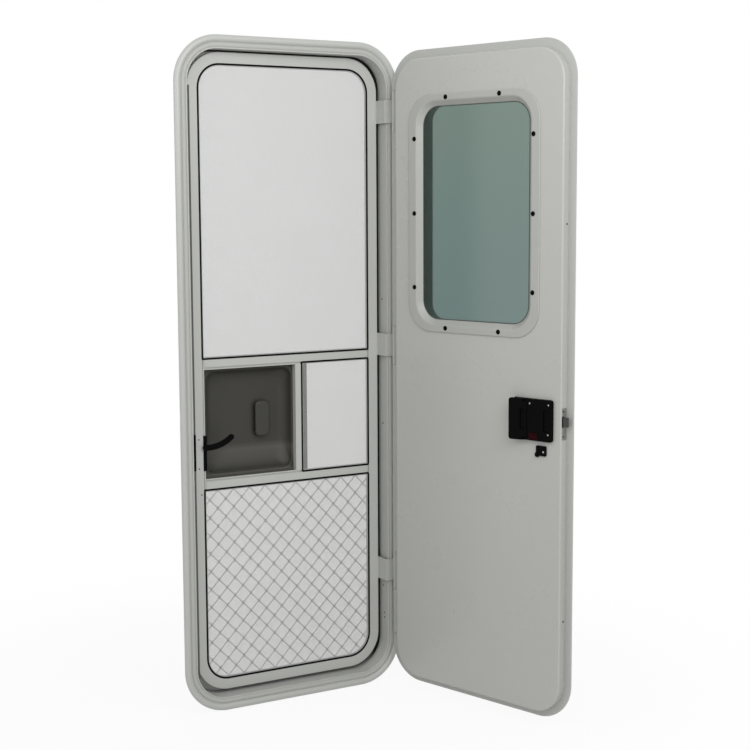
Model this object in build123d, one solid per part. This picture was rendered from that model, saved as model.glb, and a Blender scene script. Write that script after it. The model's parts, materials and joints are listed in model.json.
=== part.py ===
"""Caravan entry door: a bent aluminium frame, an outward-opening main door with a fixed window and a
slam lock, and a fly-screen door behind it with a sliding hatch. X is to the right seen from outside,
+Y runs into the caravan, Z is up. The wall's outer face is at y = 0. Millimetres."""
import os
from math import hypot

from build123d import *

# Frame extrusion: a flange on the wall, a rounded outer bead, a wall into the opening and a stop.
FRAME_W = 700.0
FRAME_H = 1900.0
FRAME_R = 130.0
FLANGE = 38.0
FLANGE_T = 3.0
BEAD_W = 20.0
BEAD_H = 10.0
NOSE_W = 4.0
NOSE_H = 5.0
WALL_T = 2.5
STOP_Y = 58.0
STOP_W = 24.0
STOP_T = 2.0
SEAL_H = 6.0
SEAL_GAP = 0.3

# Hinge: one pin carries the main door and the screen, as long and short knuckles.
HINGE_U = 21.0
HINGE_Y = -17.5
PIN_R = 3.0
PIN_CLEAR = 0.08
BARREL_R = 6.0
KNUCKLE_GAP = 0.6
FIXED_KNUCKLE = 24.0
STRAP_H = 66.0
STRAP_FROM_TOP = 169.0
STRAP_FROM_FOOT = 321.0
STRAP_T = 2.5
STRAP_Y = -8.0
LEAF_T = 2.0
HINGE_FOOT = 24.0
OPEN_ANGLE = 106.4

# Main door: an outer skin, an edge section that makes the lip, and a moulded inner liner.
LIP_SIDE = 24.0
LIP_HINGE = 19.0
LIP_TOP = 26.0
LIP_BOTTOM = 22.0
LIP_R = 106.0
SKIN_Y = -18.5
SKIN_T = 2.0
EDGE_T = 4.0
EDGE_W = 34.0
LIP_TO_KNUCKLE = 2.0
LINER_INSET = 21.0
LINER_TOP_INSET = 26.0
LINER_HINGE_U = 53.5
LINER_Y = 12.0
LINER_T = 2.5
LINER_ROUND = 4.0

# Window: glass set deep in the door, clamped between an inner ring and the sleeve of an outer trim.
WINDOW_X = 5.0
WINDOW_DROP = 161.5
WINDOW_W = 384.0
WINDOW_RISE = 253.0
WINDOW_R = 56.0
RING_SIDE = 43.0
RING_HEAD = 31.5
RING_FOOT = 35.0
RING_R = 82.0
RING_T = 4.0
RING_BEVEL = 14.5
RING_ROUND = 8.0
REVEAL_T = 17.0
TRIM_T = 9.0
TRIM_EDGE = 4.0
TRIM_SIDE_LAP = 12.0
GLASS_SET = 11.5
GLASS_T = 4.0
GLASS_LAP = 12.0

# Slam lock on the door's inner face, with its bolt in the lock edge.
LOCK_IN = 92.0
LOCK_Z = 857.0
LOCK_W = 134.0
LOCK_H = 114.0
LOCK_T = 12.0
LOCK_R = 7.0
LOCK_EDGE = 1.5
SLIDE_SIDE = 52.0
SLIDE_W = 22.0
SLIDE_H = 62.0
SLIDE_DEPTH = 3.0
KEY_SIDE = 30.0
KEY_RISE = 31.0
KEY_R = 10.0
PADDLE_W = 54.0
PADDLE_T = 13.0
PADDLE_EAR = 12.0
PADDLE_GAP = 1.0
PADDLE_PIN_R = 2.5
PADDLE_GROOVE_W = 15.0
PADDLE_GROOVE_H = 58.0
PADDLE_GROOVE_DEPTH = 5.0
BOLT_Y = 3.5
BOLT_T = 6.0
BOLT_H = 26.0
BOLT_OUT = 17.0
BOLT_IN = 26.0
BOLT_GAP = 0.3
STRIKE_CLEAR = 1.5
STRIKE_MARGIN = 6.0
LATCH_PLATE_H = 86.0
LATCH_PLATE_DROP = 6.0
LATCH_PLATE_T = 1.0
RED_TAB_SIDE = 8.0
RED_TAB_W = 30.0
RED_TAB_H = 18.0
CATCH_SIDE = 37.0
CATCH_DROP = 86.0
CATCH_L = 8.0
CATCH_RIGHT = 25.0
CATCH_UP = 16.0
CATCH_DOWN = 11.5
CATCH_CORNER = 3.0
CATCH_LOBE_R = 7.0
CATCH_LOBE_DROP = 9.0
CATCH_T = 5.0

# Outside handle: a plain dished plate with a pull bar and a key cylinder.
HANDLE_W = 150.0
HANDLE_H = 92.0
HANDLE_T = 9.0
HANDLE_EDGE = 2.0

# Screen door: bent aluminium section with a groove for the black spline that holds the mesh.
SCREEN_SIDE = 51.0
SCREEN_TOP = 43.0
SCREEN_BOTTOM = 49.0
SCREEN_R = 99.0
SCREEN_Y = 32.0
SCREEN_T = 18.0
BOX_W = 27.0
RAIL_FACE = 31.0
GROOVE = 4.0
GROOVE_DEPTH = 4.0
GROOVE_FLOOR = 2.0
LIP = 3.0
LIP_DROP = 1.5
MESH_T = 0.5
MESH_PITCH = 66.0
MESH_STRAND = 3.0
MID_RAIL_FACE = 22.0
UPPER_RAIL_Z = 997.0
LOWER_RAIL_Z = 650.5
MULLION_X = 24.0
MULLION_FACE = 18.5
GRILLE_T = 2.5
GRILLE_BAR = 3.4
GRILLE_ACROSS = 10.5
GRILLE_UP = 10.5
GRILLE_START = 0.25
GRILLE_GAP = 0.5

# Sliding hatch: a dished tray that runs in channels behind the two middle rails.
TRAY_GAP = 0.5
TRAY_T = 2.0
TRAY_IN = 26.0
TRAY_LAP = 21.0
CHANNEL_T = 2.0
CHANNEL_LIP = 3.0
CHANNEL_SPACE = 3.5
DISH_IN = 13.0
DISH_TO_MULLION = 5.0
DISH_MARGIN = 6.0
DISH_DEPTH = 36.0
DISH_SLOPE = 80.0
DISH_RUN = 30.0
DISH_R = 26.0
DISH_FLOOR_R = 44.0
DISH_STEPS = (0.0, 0.45, 0.75, 0.93, 1.0)
DISH_LIP = 4.0
GRIP_IN = 84.0
GRIP_W = 46.0
GRIP_H = 104.0
GRIP_RISE = 20.0
GRIP_ROUND = 6.0
GRIP_POCKET = 16.0
GRIP_WALL = 5.0

# Screen lock: a black case let into the lock stile, with a curved lever.
SCREEN_LOCK_W = 10.0
SCREEN_LOCK_H = 100.0
SCREEN_LOCK_RISE = 92.5
LEVER_T = 4.6
LEVER_STANDOFF = 5.2
LEVER_PIN_R = 3.0
LEVER_HUB_R = 9.0
LEVER_UP = 17.0
LEVER_W = 16.0
LEVER_REACH = 78.0
LEVER_RISE = 25.0
LEVER_SAG = 8.0
KEEPER_T = 2.0
KEEPER_DEPTH = 20.0

# Places that follow from the sizes above.
HALF_W = FRAME_W / 2
JAMB_X = HALF_W - FLANGE
HINGE_X = HALF_W - HINGE_U
LIP_L = -HALF_W + LIP_SIDE
LIP_RIGHT = HALF_W - LIP_HINGE
LIP_Z0 = LIP_BOTTOM
LIP_Z1 = FRAME_H - LIP_TOP
EDGE_Y = SKIN_Y + SKIN_T
LIP_BACK = EDGE_Y + EDGE_T
NOTCH_X = HINGE_X - BARREL_R - LIP_TO_KNUCKLE
LINER_L = LIP_L + LINER_INSET
LINER_RIGHT = HALF_W - LINER_HINGE_U
LINER_Z0 = LIP_Z0 + LINER_INSET
LINER_Z1 = LIP_Z1 - LINER_TOP_INSET
LINER_R = LIP_R - LINER_INSET
SCREEN_X = HALF_W - SCREEN_SIDE
SCREEN_Z0 = SCREEN_BOTTOM
SCREEN_Z1 = FRAME_H - SCREEN_TOP
SCREEN_BACK = SCREEN_Y + SCREEN_T
RAIL_W = RAIL_FACE + GROOVE + LIP
BOX_X = SCREEN_X - BOX_W
RAIL_LIP_BACK = SCREEN_Y + GROOVE_DEPTH + GROOVE_FLOOR
RAIL_X = SCREEN_X - RAIL_W
SPLINE_IN = RAIL_FACE + GROOVE / 2
SPLINE_X = SCREEN_X - SPLINE_IN
MID_HALF = MID_RAIL_FACE / 2 + GROOVE + LIP
MID_SPLINE = MID_RAIL_FACE / 2 + GROOVE / 2
MULLION_SPLINE = MULLION_X + MULLION_FACE + GROOVE / 2
MULLION_END = MULLION_X + MULLION_FACE + GROOVE + LIP
LIP_Y = SCREEN_Y + LIP_DROP
GLASS_Y = LINER_Y - GLASS_SET
WINDOW_Z0 = LOCK_Z + WINDOW_RISE
WINDOW_Z1 = LIP_Z1 - WINDOW_DROP
LOCK_X = LINER_L + LOCK_IN
SLIDE_X = LOCK_X - SLIDE_SIDE
KEY_X = LOCK_X - KEY_SIDE
RED_TAB_X = LOCK_X - RED_TAB_SIDE
CATCH_X = LOCK_X - CATCH_SIDE
CATCH_Z = LOCK_Z - CATCH_DROP
TRAY_LEFT = -SCREEN_X + TRAY_IN
TRAY_RIGHT = MULLION_END + TRAY_LAP
DISH_LEFT = -RAIL_X + DISH_IN
DISH_RIGHT = MULLION_X - DISH_TO_MULLION
GRIP_X = DISH_RIGHT - GRIP_IN
GRIP_Z = (UPPER_RAIL_Z + LOWER_RAIL_Z) / 2
SCREEN_LOCK_Z = LOWER_RAIL_Z + SCREEN_LOCK_RISE
LEVER_Z = SCREEN_LOCK_Z + LEVER_UP
LOCK_INNER = LINER_Y + LOCK_T
LOCK_LEFT = LOCK_X - LOCK_W / 2
LOCK_RIGHT = LOCK_X + LOCK_W / 2
PADDLE_LEFT = LOCK_RIGHT - PADDLE_W
LEVER_Y = SCREEN_Y - LEVER_STANDOFF
LEVER_X = -SCREEN_X + RAIL_FACE + SCREEN_LOCK_W / 2
STRAP_LOW = LIP_Z0 + STRAP_FROM_FOOT
STRAP_HIGH = LIP_Z1 - STRAP_FROM_TOP
STRAP_Z = [STRAP_LOW, (STRAP_LOW + STRAP_HIGH) / 2, STRAP_HIGH]
HINGE_Z0 = LIP_Z0 + LIP_R + HINGE_FOOT
HINGE_Z1 = STRAP_Z[-1] + STRAP_H / 2 + KNUCKLE_GAP + FIXED_KNUCKLE


def rectangle(x0, x1, z0, z1, radius=0.0):
    """A flat outline in X and Z, with rounded corners where a radius is given."""
    centre = Pos((x0 + x1) / 2, (z0 + z1) / 2)
    if radius > 0:
        return centre * RectangleRounded(x1 - x0, z1 - z0, radius)
    return centre * Rectangle(x1 - x0, z1 - z0)


def plate(outline, y0, y1):
    """An outline in X and Z made solid from y0 to y1."""
    return extrude(Plane.XZ.offset(-y1) * outline, y1 - y0)


def block(x0, x1, y0, y1, z0, z1):
    return plate(rectangle(x0, x1, z0, z1), y0, y1)


def upright(x, y, z0, z1, radius):
    return Pos(x, y, z0) * Cylinder(radius, z1 - z0, align=(Align.CENTER, Align.CENTER, Align.MIN))


def round_pin(x, z, y0, y1, radius):
    return plate(Pos(x, z) * Circle(radius), y0, y1)


def jamb(profile, half_width, z0, z1):
    """A straight length of a section on the lock side; its first axis runs into the opening."""
    return Pos(-half_width, 0, z0) * extrude(profile, z1 - z0)


def bent_end(profile, half_width, z_edge, radius, upward):
    """The head or sill of a frame: a straight run between two quarter bends, in one piece."""
    turn = 1 if upward else -1
    z_bend = z_edge - turn * radius
    left_start = Pos(-half_width, 0, z_bend) * profile
    axis = Axis((-half_width + radius, 0, z_bend), (0, turn, 0))
    left = revolve(left_start, axis, 90)
    run = Pos(-turn * (half_width - radius), 0, z_edge) * Rot(0, turn * 90, 0) * extrude(
        profile, 2 * (half_width - radius))
    return left + run + mirror(left, Plane.YZ)


def opened(piece):
    """Turns a main-door piece from shut to the open rest pose, about the hinge pin."""
    return Pos(HINGE_X, HINGE_Y, 0) * Rot(0, 0, OPEN_ANGLE) * Pos(-HINGE_X, -HINGE_Y, 0) * piece


def write(name, piece):
    """Saves one piece, with the origin at mid-height of the bottom flange's back face."""
    moved = Pos(0, 0, -FLANGE / 2) * piece
    export_step(moved, f"parts/{name}.step")


# Frame: the flange section bent round the top and bottom, with straight jambs between.
def frame_profile():
    bead = ThreePointArc((0, -FLANGE_T), (BEAD_W / 2, -BEAD_H), (BEAD_W, -FLANGE_T))
    channel = Line((BEAD_W, -FLANGE_T), (FLANGE - NOSE_W, -FLANGE_T))
    nose = ThreePointArc((FLANGE - NOSE_W, -FLANGE_T), (FLANGE - NOSE_W / 2, -NOSE_H), (FLANGE, -FLANGE_T))
    wall = Polyline(
        (FLANGE, -FLANGE_T), (FLANGE, STOP_Y), (FLANGE + STOP_W, STOP_Y), (FLANGE + STOP_W, STOP_Y + STOP_T),
        (FLANGE - WALL_T, STOP_Y + STOP_T), (FLANGE - WALL_T, 0), (0, 0), (0, -FLANGE_T))
    return make_face(Curve() + [bead, channel, nose, wall])


def seal_profile():
    u0 = BEAD_W + SEAL_GAP
    u1 = FLANGE - NOSE_W - SEAL_GAP
    crown = ThreePointArc((u0, -FLANGE_T), ((u0 + u1) / 2, -SEAL_H), (u1, -FLANGE_T))
    return make_face(Curve() + [crown, Line((u1, -FLANGE_T), (u0, -FLANGE_T))])


def strike_slot():
    half_t = BOLT_T / 2 + STRIKE_CLEAR
    half_h = BOLT_H / 2 + STRIKE_CLEAR
    return block(-HALF_W, -JAMB_X + WALL_T, BOLT_Y - half_t, BOLT_Y + half_t, LOCK_Z - half_h, LOCK_Z + half_h)


def frame_pieces():
    profile = frame_profile()
    seal = seal_profile()
    z0 = FRAME_R
    z1 = FRAME_H - FRAME_R
    side = jamb(profile, HALF_W, z0, z1)
    plate_half = LATCH_PLATE_H / 2
    strike = block(-JAMB_X, -JAMB_X + LATCH_PLATE_T, -FLANGE_T, BOLT_Y + BOLT_T / 2 + STRIKE_MARGIN,
                   LOCK_Z - plate_half, LOCK_Z + plate_half)
    seal_side = jamb(seal, HALF_W, z0, z1)
    seal_ring = (bent_end(seal, HALF_W, FRAME_H, FRAME_R, True) + bent_end(seal, HALF_W, 0, FRAME_R, False)
                 + seal_side + mirror(seal_side, Plane.YZ))
    lock_half = SCREEN_LOCK_H / 2
    keeper = block(-JAMB_X, -JAMB_X + KEEPER_T, SCREEN_Y, SCREEN_Y + KEEPER_DEPTH,
                   SCREEN_LOCK_Z - lock_half, SCREEN_LOCK_Z + lock_half)
    return {
        "frame_head": bent_end(profile, HALF_W, FRAME_H, FRAME_R, True),
        "frame_sill": bent_end(profile, HALF_W, 0, FRAME_R, False),
        "frame_lock_jamb": side - strike_slot(),
        "frame_hinge_jamb": mirror(side, Plane.YZ),
        "frame_seal": seal_ring,
        "strike_plate": strike - strike_slot(),
        "screen_keeper": keeper,
    }


# Hinge: fixed knuckles either side of each strap, long door knuckles between, one pin through all.
def barrel(z0, z1):
    return upright(HINGE_X, HINGE_Y, z0, z1, BARREL_R)


def bore(z0, z1):
    return upright(HINGE_X, HINGE_Y, z0, z1, PIN_R + PIN_CLEAR)


def knuckle_spans():
    """Spans of the fixed knuckles and of the door's long knuckles, from the bottom up."""
    half = STRAP_H / 2 + KNUCKLE_GAP
    fixed = []
    for z in STRAP_Z:
        fixed += [(z - half - FIXED_KNUCKLE, z - half), (z + half, z + half + FIXED_KNUCKLE)]
    starts = [HINGE_Z0] + [top + KNUCKLE_GAP for low, top in fixed[1:-1:2]]
    ends = [low - KNUCKLE_GAP for low, top in fixed[0::2]]
    return fixed, list(zip(starts, ends))


def fixed_knuckles(hinge_jamb):
    fixed, _ = knuckle_spans()
    foot_x0 = HALF_W - BEAD_W + SEAL_GAP
    foot_x1 = HINGE_X + BARREL_R + LEAF_T
    pieces = Part()
    for z0, z1 in fixed:
        foot = block(foot_x0, foot_x1, HINGE_Y, -FLANGE_T, z0, z1) - hinge_jamb
        pieces += barrel(z0, z1) + foot - bore(z0, z1)
    return pieces


def door_leaf():
    _, spans = knuckle_spans()
    pieces = Part()
    for z0, z1 in spans:
        web = block(NOTCH_X, HINGE_X, SKIN_Y, LIP_BACK, z0, z1)
        leaf = block(LINER_RIGHT + LEAF_T, HINGE_X, LIP_BACK, LIP_BACK + LEAF_T, z0, z1)
        pieces += barrel(z0, z1) + web + leaf - bore(z0, z1)
    return pieces + lip_ends()


def strap(z):
    """Cranked strap: foot on the screen's stile, forward along the jamb, then across to its knuckle."""
    z0 = z - STRAP_H / 2
    z1 = z + STRAP_H / 2
    wall_x = SCREEN_X + STRAP_T
    foot = block(SCREEN_X, wall_x + STRAP_T, SCREEN_Y + LIP_DROP, SCREEN_BACK - LIP_DROP, z0, z1)
    forward = block(wall_x, wall_x + STRAP_T, STRAP_Y - STRAP_T, SCREEN_BACK - LIP_DROP, z0, z1)
    across = block(wall_x, HINGE_X, STRAP_Y - STRAP_T, STRAP_Y, z0, z1)
    neck = block(HINGE_X - BARREL_R / 2, HINGE_X, HINGE_Y, STRAP_Y, z0, z1)
    return foot + forward + across + neck + barrel(z0, z1) - bore(z0, z1)


# Main door, drawn shut: skin, lip section, liner, window and lock.
def lip_outline(inset=0.0):
    return rectangle(LIP_L + inset, LIP_RIGHT - inset, LIP_Z0 + inset, LIP_Z1 - inset, LIP_R - inset)


def hinge_side():
    """Everything past the line where the skin and the lip section stop for the hinge."""
    return block(NOTCH_X, HALF_W, SKIN_Y, LIP_BACK, LIP_Z0, LIP_Z1)


def lip_ends():
    """Plain ends of the hinge leaf that carry the lip on, below and above the knuckles."""
    knuckles = block(NOTCH_X, HALF_W, SKIN_Y, LIP_BACK, HINGE_Z0 - 2 * LEAF_T, HINGE_Z1 + 2 * LEAF_T)
    return (plate(lip_outline(), SKIN_Y, LIP_BACK) & hinge_side()) - knuckles


def window_outline(grow):
    return rectangle(WINDOW_X - WINDOW_W / 2 - grow, WINDOW_X + WINDOW_W / 2 + grow, WINDOW_Z0 - grow,
                     WINDOW_Z1 + grow, WINDOW_R + grow)


def liner_body(inset, y1):
    return plate(rectangle(LINER_L + inset, LINER_RIGHT - inset, LINER_Z0 + inset, LINER_Z1 - inset,
                           LINER_R - inset), LIP_BACK, y1)


def door_liner():
    shell = liner_body(0, LINER_Y)
    rim = shell.faces().sort_by(Axis.Y)[-1].edges()
    shell = fillet(rim, LINER_ROUND) - liner_body(LINER_T, LINER_Y - LINER_T)
    shell -= plate(window_outline(REVEAL_T), LIP_BACK, LINER_Y)
    return shell - bolt_way(LINER_L - BOLT_OUT, LINER_L + LINER_T)


def ring_outline():
    return rectangle(WINDOW_X - WINDOW_W / 2 - RING_SIDE, WINDOW_X + WINDOW_W / 2 + RING_SIDE,
                     WINDOW_Z0 - RING_FOOT, WINDOW_Z1 + RING_HEAD, RING_R)


def window_ring():
    """Inner ring: a flange on the liner, with a wide bevel that rolls over down to the glass."""
    front = LINER_Y + RING_T
    flange = plate(ring_outline(), LINER_Y, front)
    flange = fillet(flange.faces().sort_by(Axis.Y)[-1].edges(), RING_T / 2)
    ring = flange + plate(window_outline(REVEAL_T), GLASS_Y, LINER_Y) - plate(window_outline(0), GLASS_Y, front)
    ring = chamfer(ring.faces().sort_by(Axis.Y)[-1].inner_wires()[0].edges(), RING_BEVEL)
    return fillet(ring.faces().sort_by(Axis.Y)[-1].inner_wires()[0].edges(), RING_ROUND)


def window_trim():
    """Outer trim: a bevelled frame on the skin, with a sleeve up to the glass that narrows outwards."""
    flange = plate(ring_outline(), SKIN_Y - TRIM_T, SKIN_Y)
    flange = chamfer(flange.faces().sort_by(Axis.Y)[0].edges(), TRIM_EDGE)
    sleeve = plate(window_outline(REVEAL_T), SKIN_Y, GLASS_Y - GLASS_T)
    half_sight = WINDOW_W / 2 - TRIM_SIDE_LAP
    sight = rectangle(WINDOW_X - half_sight, WINDOW_X + half_sight, WINDOW_Z0, WINDOW_Z1, WINDOW_R - TRIM_SIDE_LAP)
    return flange + sleeve - loft([Plane.XZ.offset(TRIM_T - SKIN_Y) * sight,
                                   Plane.XZ.offset(GLASS_T - GLASS_Y) * window_outline(0)])


def lock_case():
    case = plate(rectangle(LOCK_LEFT, LOCK_RIGHT, LOCK_Z - LOCK_H / 2, LOCK_Z + LOCK_H / 2, LOCK_R),
                 LINER_Y, LOCK_INNER)
    case = chamfer(case.faces().sort_by(Axis.Y)[-1].edges(), LOCK_EDGE)
    slide = plate(rectangle(SLIDE_X - SLIDE_W / 2, SLIDE_X + SLIDE_W / 2, LOCK_Z - SLIDE_H / 2,
                            LOCK_Z + SLIDE_H / 2, LOCK_R), LOCK_INNER - SLIDE_DEPTH, LOCK_INNER)
    floor = LINER_Y + LOCK_T / 3
    well = block(PADDLE_LEFT, LOCK_RIGHT, floor, LOCK_INNER,
                 LOCK_Z - LOCK_H / 2 + LOCK_R, LOCK_Z + LOCK_H / 2 - LOCK_R)
    well += block(PADDLE_LEFT + PADDLE_EAR, LOCK_RIGHT, floor, LOCK_INNER, LOCK_Z - LOCK_H / 2, LOCK_Z + LOCK_H / 2)
    pivot = upright(PADDLE_LEFT + PADDLE_PIN_R * 2, LOCK_INNER - LOCK_T / 3, LOCK_Z - LOCK_H / 2 + LOCK_R,
                    LOCK_Z + LOCK_H / 2 - LOCK_R, PADDLE_PIN_R)
    return case - slide - well + pivot - red_tab()


def lock_paddle():
    """Curved pull grip in the hinge-side third of the lock, turning on an upright pin between two ears."""
    z0 = LOCK_Z - LOCK_H / 2
    z1 = LOCK_Z + LOCK_H / 2
    x0 = PADDLE_LEFT + 2 * PADDLE_GAP
    y0 = LOCK_INNER - LOCK_T / 2
    y1 = LOCK_INNER + PADDLE_T
    mid_x = (x0 + LOCK_RIGHT) / 2
    curve = Curve() + [
        ThreePointArc((x0, LOCK_INNER), (mid_x, y1 - PADDLE_T / 4), (LOCK_RIGHT, y1)),
        Polyline((LOCK_RIGHT, y1), (LOCK_RIGHT, y1 - PADDLE_T / 2)),
        ThreePointArc((LOCK_RIGHT, y1 - PADDLE_T / 2), (mid_x, LOCK_INNER), (mid_x - PADDLE_T / 2, y0)),
        Polyline((mid_x - PADDLE_T / 2, y0), (x0, y0), (x0, LOCK_INNER)),
    ]
    grip = Pos(0, 0, z0) * extrude(make_face(curve), z1 - z0)
    grip = fillet(grip.faces().sort_by(Axis.X)[-1].edges().filter_by(Axis.Y), LOCK_R)
    ear_x = PADDLE_LEFT + PADDLE_EAR + PADDLE_GAP
    ear = LOCK_R + PADDLE_GAP
    grip -= block(PADDLE_LEFT, ear_x, y0, y1, z0, z0 + ear) + block(PADDLE_LEFT, ear_x, y0, y1, z1 - ear, z1)
    eye = upright(PADDLE_LEFT + PADDLE_PIN_R * 2, LOCK_INNER - LOCK_T / 3, z0, z1, PADDLE_PIN_R + PIN_CLEAR)
    groove_x = PADDLE_LEFT + PADDLE_PIN_R * 2
    groove = plate(rectangle(groove_x, groove_x + PADDLE_GROOVE_W, LOCK_Z - PADDLE_GROOVE_H / 2,
                             LOCK_Z + PADDLE_GROOVE_H / 2, LOCK_R), LOCK_INNER, y1)
    shallow = Pos(0, -PADDLE_GROOVE_DEPTH, 0) * grip
    return grip - eye - (groove - shallow)


def red_tab():
    x0 = RED_TAB_X - RED_TAB_W / 2
    z0 = LOCK_Z - LOCK_H / 2 + LOCK_R / 2
    return block(x0, x0 + RED_TAB_W, LOCK_INNER - LOCK_T / 4, LOCK_INNER + LOCK_T / 8, z0, z0 + RED_TAB_H)


def bolt_way(x0, x1):
    """The clear way that the bolt slides through, from x0 to x1."""
    half_t = BOLT_T / 2 + BOLT_GAP
    half_h = BOLT_H / 2 + BOLT_GAP
    return block(x0, x1, BOLT_Y - half_t, BOLT_Y + half_t, LOCK_Z - half_h, LOCK_Z + half_h)


def latch_plate():
    half = LATCH_PLATE_H / 2
    middle = LOCK_Z - LATCH_PLATE_DROP
    face = block(LINER_L - LATCH_PLATE_T, LINER_L, LIP_BACK + LEAF_T, LINER_Y - LINER_ROUND, middle - half,
                 middle + half)
    return face - bolt_way(LINER_L - BOLT_OUT, LINER_L)


def latch_bolt():
    """Bevelled bolt: full thickness in the door, sloped on the side that meets the strike."""
    y0 = BOLT_Y - BOLT_T / 2
    y1 = BOLT_Y + BOLT_T / 2
    side = Polyline((LINER_L + BOLT_IN, y0), (LINER_L - BOLT_OUT, y0), (LINER_L - BOLT_OUT, y0 + BOLT_T / 5),
                    (LINER_L, y1), (LINER_L + BOLT_IN, y1), close=True)
    return Pos(0, 0, LOCK_Z - BOLT_H / 2) * extrude(make_face(side), BOLT_H)


def catch_turn():
    """Small turn button on one screw, with a lobed end."""
    button = rectangle(CATCH_X - CATCH_L, CATCH_X + CATCH_RIGHT, CATCH_Z - CATCH_DOWN, CATCH_Z + CATCH_UP,
                       CATCH_CORNER)
    lobe = Pos(CATCH_X + CATCH_RIGHT - CATCH_CORNER, CATCH_Z - CATCH_LOBE_DROP) * Circle(CATCH_LOBE_R)
    hole = Pos(CATCH_X, CATCH_Z) * Circle(LEVER_PIN_R + PIN_CLEAR)
    return plate(button + lobe - hole, LINER_Y + KNUCKLE_GAP / 2, LINER_Y + CATCH_T)


def outer_handle():
    front = SKIN_Y - HANDLE_T
    dish = plate(rectangle(LOCK_X - HANDLE_W / 2, LOCK_X + HANDLE_W / 2, LOCK_Z - HANDLE_H / 2,
                           LOCK_Z + HANDLE_H / 2, LOCK_R), front, SKIN_Y)
    dish = chamfer(dish.faces().sort_by(Axis.Y)[0].edges(), HANDLE_EDGE)
    hollow = plate(rectangle(LOCK_X - HANDLE_W / 3, LOCK_X + HANDLE_W / 3, LOCK_Z - HANDLE_H / 3,
                             LOCK_Z + HANDLE_H / 6, LOCK_R), front, SKIN_Y - SKIN_T)
    bar = block(LOCK_X - HANDLE_W / 3, LOCK_X + HANDLE_W / 3, front, front + SKIN_T * 2,
                LOCK_Z - HANDLE_H / 8, LOCK_Z + HANDLE_H / 6 - LOCK_R)
    cylinder = round_pin(KEY_X, LOCK_Z + KEY_RISE, front - SKIN_T, front, KEY_R)
    return dish - hollow, bar, cylinder


def main_door_pieces():
    skin = plate(lip_outline() - window_outline(REVEAL_T), SKIN_Y, EDGE_Y) - hinge_side()
    edge = plate(lip_outline() - lip_outline(EDGE_W), EDGE_Y, LIP_BACK) - hinge_side()
    plate_piece, bar, cylinder = outer_handle()
    return {
        "door_skin": skin,
        "door_edge": edge,
        "door_liner": door_liner(),
        "door_hinge_leaf": door_leaf(),
        "window_outer_trim": window_trim(),
        "window_glass": plate(window_outline(GLASS_LAP), GLASS_Y - GLASS_T, GLASS_Y),
        "window_inner_ring": window_ring(),
        "lock_case": lock_case(),
        "lock_paddle": lock_paddle(),
        "lock_red_tab": red_tab(),
        "latch_plate": latch_plate(),
        "latch_bolt": latch_bolt(),
        "catch_turn": catch_turn(),
        "catch_pin": round_pin(CATCH_X, CATCH_Z, LINER_Y, LINER_Y + CATCH_T, LEVER_PIN_R),
        "outer_handle_plate": plate_piece,
        "outer_handle_bar": bar,
        "key_cylinder": cylinder,
    }


# Screen door: grooved rails and stiles, splines in the grooves, mesh on the inner lips.
def screen_profile():
    """Deep outer part, and a thin inner flange with the spline groove and the lip for the mesh."""
    floor = SCREEN_Y + GROOVE_DEPTH
    inner = RAIL_FACE + GROOVE
    return make_face(Polyline(
        (0, SCREEN_Y + LIP_DROP), (LIP_DROP, SCREEN_Y), (RAIL_FACE, SCREEN_Y), (RAIL_FACE, floor), (inner, floor),
        (inner, LIP_Y), (RAIL_W, LIP_Y), (RAIL_W, RAIL_LIP_BACK), (BOX_W, RAIL_LIP_BACK), (BOX_W, SCREEN_BACK),
        (0, SCREEN_BACK), close=True))


def mid_rail(z, hook):
    """Middle rail with a groove along both edges, and a channel behind it for the hatch."""
    half = MID_RAIL_FACE / 2
    body = block(-RAIL_X, RAIL_X, SCREEN_Y, RAIL_LIP_BACK, z - half, z + half)
    body += block(-BOX_X, BOX_X, RAIL_LIP_BACK, SCREEN_BACK, z - half, z + half)
    base = block(-RAIL_X, RAIL_X, SCREEN_Y + GROOVE_DEPTH, RAIL_LIP_BACK, z - MID_HALF, z + MID_HALF)
    edges = block(-RAIL_X, RAIL_X, LIP_Y, RAIL_LIP_BACK, z - MID_HALF, z + MID_HALF)
    grooves = block(-RAIL_X, RAIL_X, LIP_Y, RAIL_LIP_BACK, z - half - GROOVE, z + half + GROOVE)
    web_z = sorted((z, z + hook * CHANNEL_T))
    lip_z = sorted((z, z + hook * (half + CHANNEL_LIP)))
    channel_y = SCREEN_BACK + CHANNEL_SPACE
    web = block(-RAIL_X, RAIL_X, SCREEN_BACK, channel_y, *web_z)
    channel = block(-RAIL_X, RAIL_X, channel_y, channel_y + CHANNEL_T, *lip_z)
    return body + base + (edges - grooves) + web + channel


def panel_outline(x0, x1, z0, z1, top_radius, bottom_radius):
    outline = rectangle(x0, x1, z0, z1)
    outline = fillet(outline.vertices().sort_by(Axis.Y)[-2:], top_radius)
    return fillet(outline.vertices().sort_by(Axis.Y)[:2], bottom_radius)


def spline(x0, x1, z0, z1, top_radius, bottom_radius):
    """Loop of rubber cord lying in the grooves round one panel."""

    def loop(grow):
        return panel_outline(x0 - grow, x1 + grow, z0 - grow, z1 + grow, top_radius + grow, bottom_radius + grow)

    half = GROOVE / 2
    return plate(loop(half) - loop(-half), SCREEN_Y + LIP_DROP / 2, SCREEN_Y + GROOVE_DEPTH)


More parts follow.
